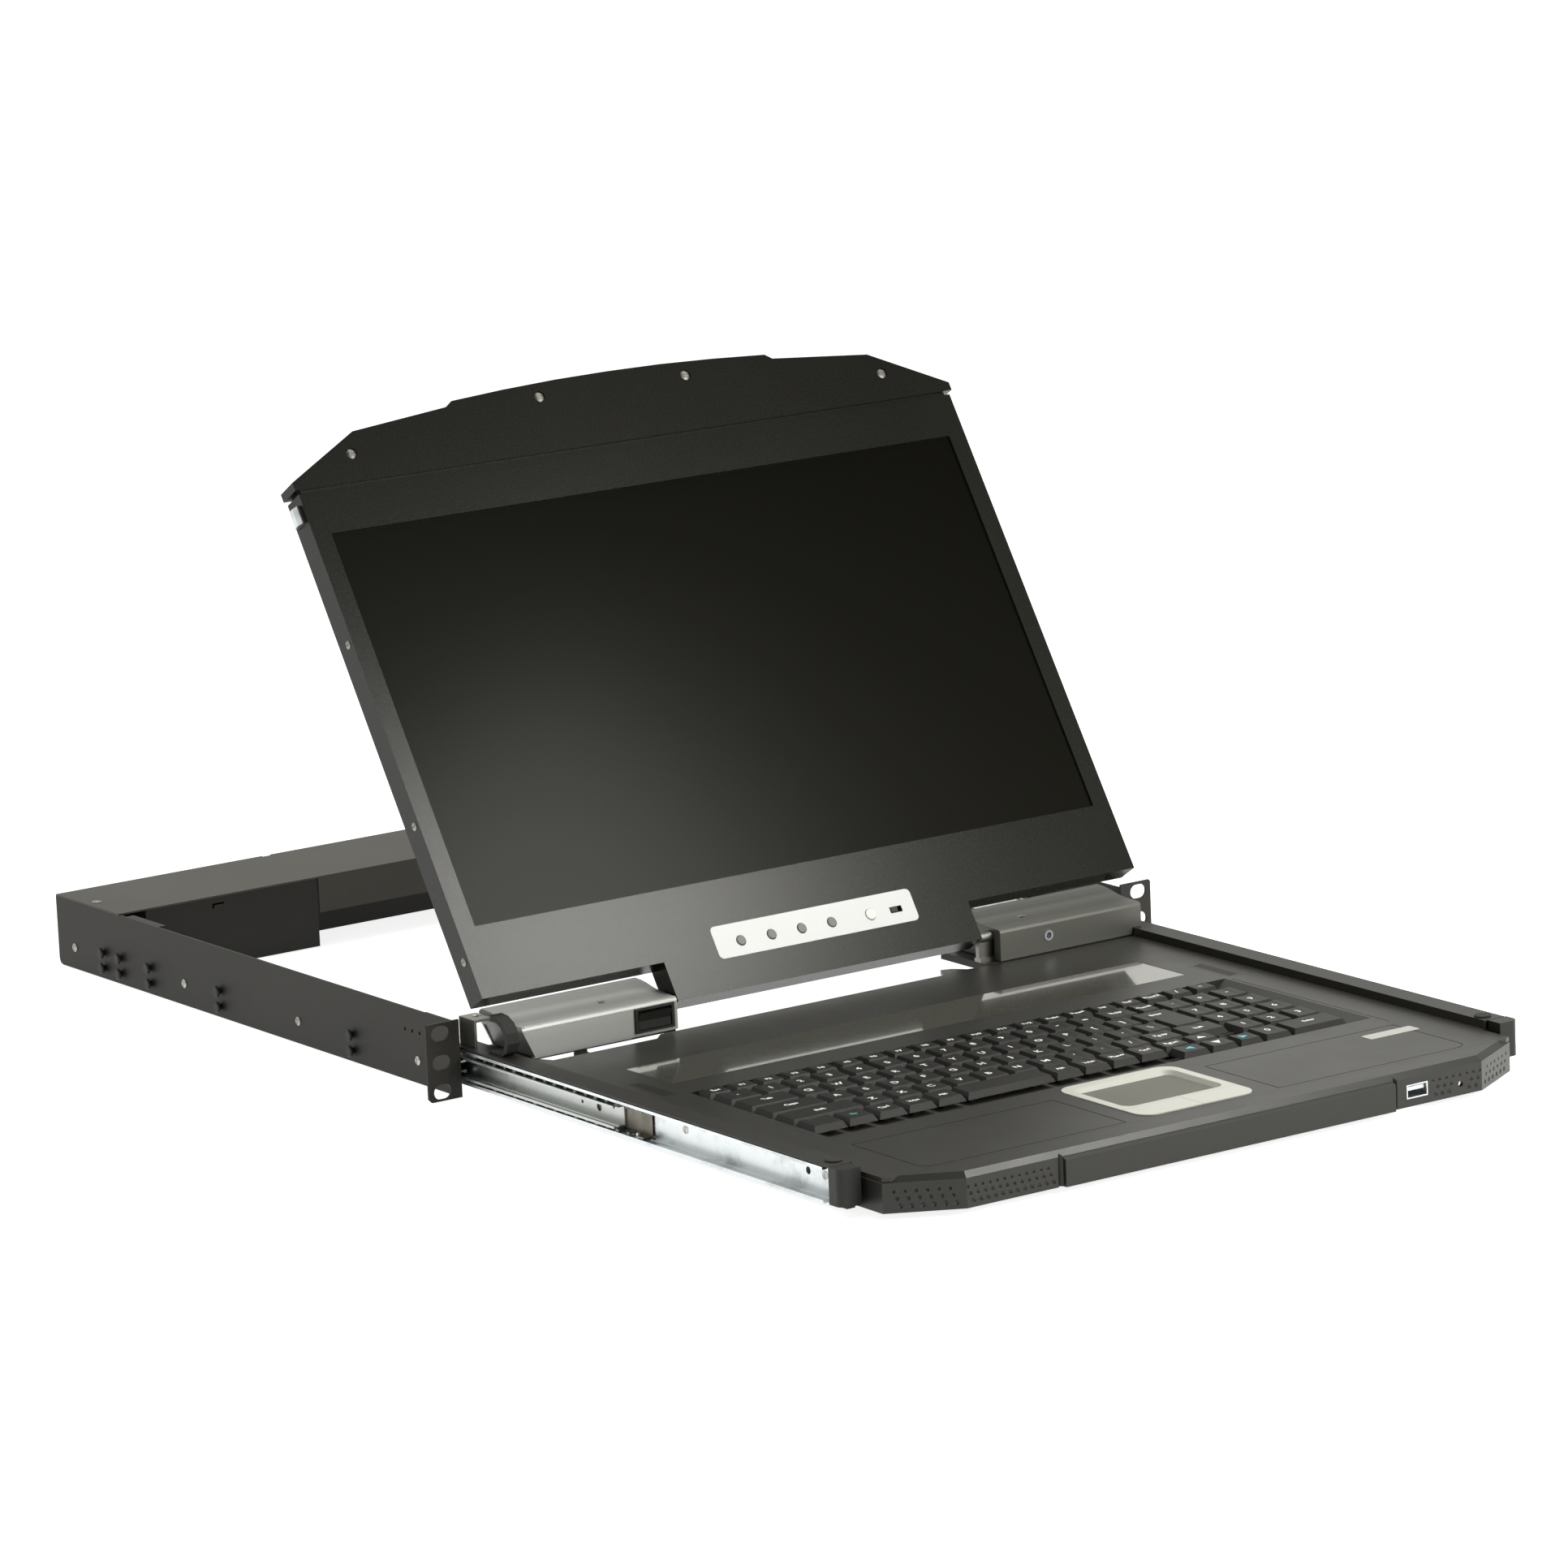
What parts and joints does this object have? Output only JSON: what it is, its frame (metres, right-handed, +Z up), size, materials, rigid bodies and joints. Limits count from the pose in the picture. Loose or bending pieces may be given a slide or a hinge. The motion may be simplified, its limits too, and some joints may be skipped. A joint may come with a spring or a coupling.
{
  "type": "rackmount lcd console drawer",
  "caption": "Slim rack drawer with a fold-up screen, full keyboard with keypad and touchpad, drawn out of its ear-mounted case on ball bearing slides.",
  "frame": {"origin": "midway between the rack ears on their front face, at the height of the middle slots", "axes": "X to the right as seen from the front of the rack, Y into the rack, Z up"},
  "size_m": [0.4826, 0.8105, 0.3444],
  "materials": {
    "case_paint": "black powder coat, fine speckle",
    "drawer_paint": "black powder coat",
    "zinc": "bright zinc plated steel with a film of grease",
    "screw_zinc": "bright zinc",
    "stud_black": "black oxide",
    "ball_steel": "polished bearing steel",
    "deck_plastic": "satin textured charcoal",
    "key_plastic": "satin black with white legends",
    "black_plastic": "satin black",
    "plate_metal": "black sheet",
    "board": "green solder mask",
    "smoked": "smoked glossy window",
    "silver_plastic": "silver grey paint",
    "touch_grey": "fine matt touch surface",
    "pad_rubber": "soft black",
    "bezel_paint": "charcoal powder coat, fine speckle",
    "panel_glass": "dark anti-glare screen",
    "label_silver": "light silver plate",
    "button_grey": "grey",
    "white_plastic": "white",
    "sleeve": "woven black sleeve"
  },
  "bodies": {
    "case": {"case_side_right": "case_paint", "case_side_left": "case_paint", "rear_housing": "case_paint", "rear_cover": "case_paint", "case_studs": "stud_black", "case_screws": "screw_zinc", "power_inlet": "black_plastic", "rear_connectors": "zinc", "rear_electronics": "board", "slide_case_members": "zinc"},
    "middle_slides": {"slide_middle_members": "zinc"},
    "outer_cages": {"outer_ball_cages": "zinc", "outer_balls": "ball_steel"},
    "inner_cages": {"inner_ball_cages": "zinc", "inner_balls": "ball_steel"},
    "drawer": {"slide_drawer_members": "zinc", "drawer_tray": "drawer_paint", "keyboard_deck": "deck_plastic", "front_fascia": "deck_plastic", "drawer_sockets": "zinc", "corner_blocks": "black_plastic", "rest_pads": "pad_rubber", "indicator_window": "smoked", "speaker_grilles": "deck_plastic", "touchpad_bezel": "silver_plastic", "touch_surface": "touch_grey", "key_plate": "plate_metal", "key_board": "board", "hinge_covers": "bezel_paint", "hinge_brackets": "plate_metal", "rocker_bezel": "black_plastic", "cable_sleeve": "sleeve", "drawer_screws": "screw_zinc"},
    "screen": {"lcd_bezel": "bezel_paint", "lcd_back_cover": "bezel_paint", "lcd_panel": "panel_glass", "lcd_boards": "board", "upper_handle": "bezel_paint", "control_plate": "label_silver", "hinge_shafts": "zinc", "lcd_screws": "screw_zinc"},
    "keys_function_row": {"keys_function_row": "key_plastic"},
    "keys_number_row": {"keys_number_row": "key_plastic"},
    "keys_upper_row": {"keys_upper_row": "key_plastic"},
    "keys_home_row": {"keys_home_row": "key_plastic"},
    "keys_lower_row": {"keys_lower_row": "key_plastic"},
    "keys_bottom_row": {"keys_bottom_row": "key_plastic"},
    "key_space_bar": {"key_space_bar": "key_plastic"},
    "keys_keypad": {"keys_keypad": "key_plastic"},
    "touch_button_left": {"touch_button_left": "silver_plastic"},
    "touch_button_right": {"touch_button_right": "silver_plastic"},
    "rocker_switch": {"rocker_switch": "black_plastic"},
    "osd_button_1": {"osd_button_1": "button_grey"},
    "osd_button_2": {"osd_button_2": "button_grey"},
    "osd_button_3": {"osd_button_3": "button_grey"},
    "osd_button_4": {"osd_button_4": "button_grey"},
    "power_button": {"power_button": "white_plastic"},
    "slide_switch": {"slide_switch": "black_plastic"},
    "side_latch_right": {"side_latch_right": "zinc"},
    "side_latch_left": {"side_latch_left": "zinc"}
  },
  "joints": [
    {"name": "drawer_slide", "type": "slide", "parent": "case", "child": "drawer", "axis": [0, 1, 0], "range_m": [0, 0.336]},
    {"name": "middle_slide", "type": "slide", "parent": "case", "child": "middle_slides", "axis": [0, 1, 0], "range_m": [0, 0.168]},
    {"name": "outer_cage_slide", "type": "slide", "parent": "case", "child": "outer_cages", "axis": [0, 1, 0], "range_m": [0, 0.084]},
    {"name": "inner_cage_slide", "type": "slide", "parent": "case", "child": "inner_cages", "axis": [0, 1, 0], "range_m": [0, 0.252]},
    {"name": "screen_hinge", "type": "hinge", "parent": "drawer", "child": "screen", "pos_m": [0, -0.02239, 0.01427], "axis": [1, 0, 0], "range_deg": [0, 122.3]},
    {"name": "function_row_press", "type": "slide", "parent": "drawer", "child": "keys_function_row", "axis": [0, 0, -1], "range_m": [0, 0.0025], "stiffness_N_per_m": 400, "springref_m": -0.001},
    {"name": "number_row_press", "type": "slide", "parent": "drawer", "child": "keys_number_row", "axis": [0, 0, -1], "range_m": [0, 0.0025], "stiffness_N_per_m": 400, "springref_m": -0.001},
    {"name": "upper_row_press", "type": "slide", "parent": "drawer", "child": "keys_upper_row", "axis": [0, 0, -1], "range_m": [0, 0.0025], "stiffness_N_per_m": 400, "springref_m": -0.001},
    {"name": "home_row_press", "type": "slide", "parent": "drawer", "child": "keys_home_row", "axis": [0, 0, -1], "range_m": [0, 0.0025], "stiffness_N_per_m": 400, "springref_m": -0.001},
    {"name": "lower_row_press", "type": "slide", "parent": "drawer", "child": "keys_lower_row", "axis": [0, 0, -1], "range_m": [0, 0.0025], "stiffness_N_per_m": 400, "springref_m": -0.001},
    {"name": "bottom_row_press", "type": "slide", "parent": "drawer", "child": "keys_bottom_row", "axis": [0, 0, -1], "range_m": [0, 0.0025], "stiffness_N_per_m": 400, "springref_m": -0.001},
    {"name": "space_bar_press", "type": "slide", "parent": "drawer", "child": "key_space_bar", "axis": [0, 0, -1], "range_m": [0, 0.0025], "stiffness_N_per_m": 400, "springref_m": -0.001},
    {"name": "keypad_press", "type": "slide", "parent": "drawer", "child": "keys_keypad", "axis": [0, 0, -1], "range_m": [0, 0.0025], "stiffness_N_per_m": 400, "springref_m": -0.001},
    {"name": "touch_button_left_press", "type": "slide", "parent": "drawer", "child": "touch_button_left", "axis": [0, 0, -1], "range_m": [0, 0.0005], "stiffness_N_per_m": 800, "springref_m": -0.0005},
    {"name": "touch_button_right_press", "type": "slide", "parent": "drawer", "child": "touch_button_right", "axis": [0, 0, -1], "range_m": [0, 0.0005], "stiffness_N_per_m": 800, "springref_m": -0.0005},
    {"name": "rocker_tilt", "type": "hinge", "parent": "drawer", "child": "rocker_switch", "pos_m": [0, -0.0275, 0.0098], "axis": [-1, 0, 0], "range_deg": [0, 16]},
    {"name": "osd_button_1_press", "type": "slide", "parent": "screen", "child": "osd_button_1", "axis": [0, 0.8453, -0.5344], "range_m": [0, 0.0005], "stiffness_N_per_m": 800, "springref_m": -0.0005},
    {"name": "osd_button_2_press", "type": "slide", "parent": "screen", "child": "osd_button_2", "axis": [0, 0.8453, -0.5344], "range_m": [0, 0.0005], "stiffness_N_per_m": 800, "springref_m": -0.0005},
    {"name": "osd_button_3_press", "type": "slide", "parent": "screen", "child": "osd_button_3", "axis": [0, 0.8453, -0.5344], "range_m": [0, 0.0005], "stiffness_N_per_m": 800, "springref_m": -0.0005},
    {"name": "osd_button_4_press", "type": "slide", "parent": "screen", "child": "osd_button_4", "axis": [0, 0.8453, -0.5344], "range_m": [0, 0.0005], "stiffness_N_per_m": 800, "springref_m": -0.0005},
    {"name": "power_button_press", "type": "slide", "parent": "screen", "child": "power_button", "axis": [0, 0.8453, -0.5344], "range_m": [0, 0.0005], "stiffness_N_per_m": 800, "springref_m": -0.0005},
    {"name": "slide_switch_move", "type": "slide", "parent": "screen", "child": "slide_switch", "axis": [1, 0, 0], "range_m": [0, 0.003]},
    {"name": "side_latch_right_draw", "type": "slide", "parent": "screen", "child": "side_latch_right", "axis": [-1, 0, 0], "range_m": [0, 0.003], "stiffness_N_per_m": 800, "springref_m": -0.0008},
    {"name": "side_latch_left_draw", "type": "slide", "parent": "screen", "child": "side_latch_left", "axis": [1, 0, 0], "range_m": [0, 0.003], "stiffness_N_per_m": 800, "springref_m": -0.0008}
  ],
  "couplings": [
    {"joint": "middle_slide", "follows": "drawer_slide", "ratio": 0.5},
    {"joint": "outer_cage_slide", "follows": "drawer_slide", "ratio": 0.25},
    {"joint": "inner_cage_slide", "follows": "drawer_slide", "ratio": 0.75}
  ]
}
